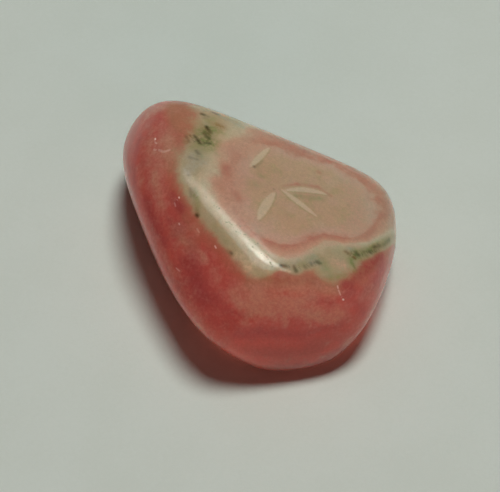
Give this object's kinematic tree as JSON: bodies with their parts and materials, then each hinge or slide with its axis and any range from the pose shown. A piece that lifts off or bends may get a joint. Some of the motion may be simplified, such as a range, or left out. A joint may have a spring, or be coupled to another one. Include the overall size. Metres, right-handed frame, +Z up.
{
  "type": "tumbled rhodochrosite stone",
  "caption": "Tumble-polished rose mineral pebble, wedge-shaped with a broad flat top face, a rounded nose and a cream band around a tan core.",
  "frame": {"origin": "under the middle of the stone's bounding box, on the surface it rests on", "axes": "+Z up as it rests; +X along the stone, from its narrow nose towards its broad end; the top face leans a little towards +Y"},
  "size_m": [0.0262, 0.0202, 0.0108],
  "materials": {
    "rose_stone": "tumble-polished, faintly translucent, banded"
  },
  "bodies": {
    "root": {"rhodochrosite_stone": "rose_stone"}
  },
  "joints": []
}
